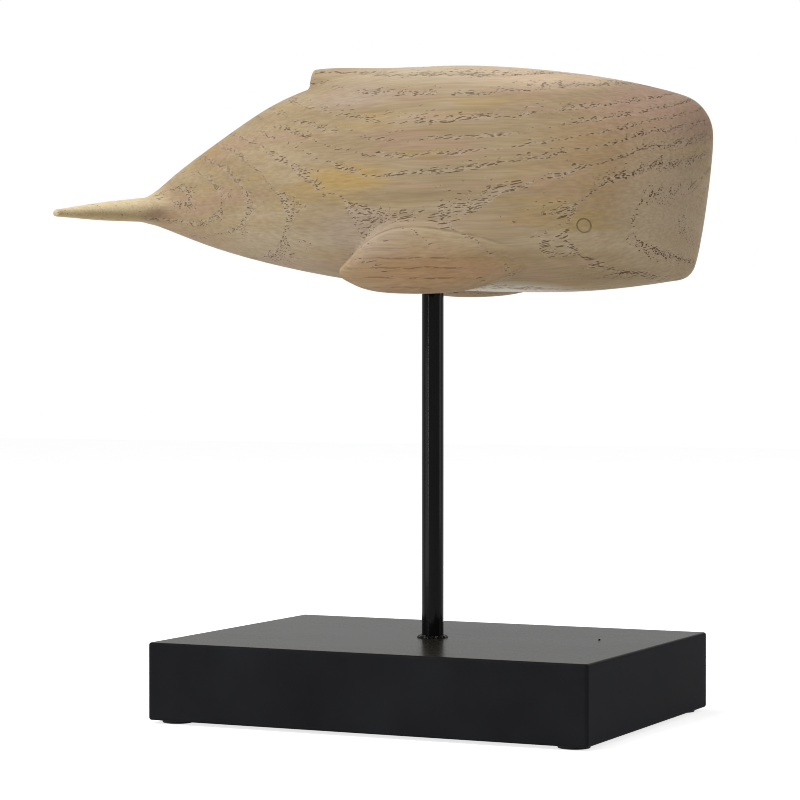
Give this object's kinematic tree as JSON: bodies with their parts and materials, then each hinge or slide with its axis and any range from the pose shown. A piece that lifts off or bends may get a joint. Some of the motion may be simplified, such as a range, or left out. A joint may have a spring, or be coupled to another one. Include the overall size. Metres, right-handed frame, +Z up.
{
  "type": "whale figurine on a stand",
  "caption": "Stylised sperm whale in limed wood, held level on a slim black rod over a black block base.",
  "frame": {"origin": "on the surface that the felt pads stand on, straight below the rod's axis and the middle of the base", "axes": "+X towards the whale's head, +Y to its left side, +Z up along the rod"},
  "size_m": [0.3055, 0.153, 0.2994],
  "materials": {
    "whale_wood": "limed open grain, matt",
    "rod_black": "black gloss paint",
    "base_black": "black satin paint on fibreboard",
    "washer_steel": "zinc plated",
    "screw_steel": "zinc plated",
    "pad_felt": "black felt"
  },
  "bodies": {
    "root": {"whale_body": "whale_wood", "support_rod": "rod_black", "base_block": "base_black", "base_washer": "washer_steel", "base_screw": "screw_steel", "felt_pad_front_near": "pad_felt", "felt_pad_front_far": "pad_felt", "felt_pad_rear_near": "pad_felt", "felt_pad_rear_far": "pad_felt", "felt_pad_middle": "pad_felt"}
  },
  "joints": []
}
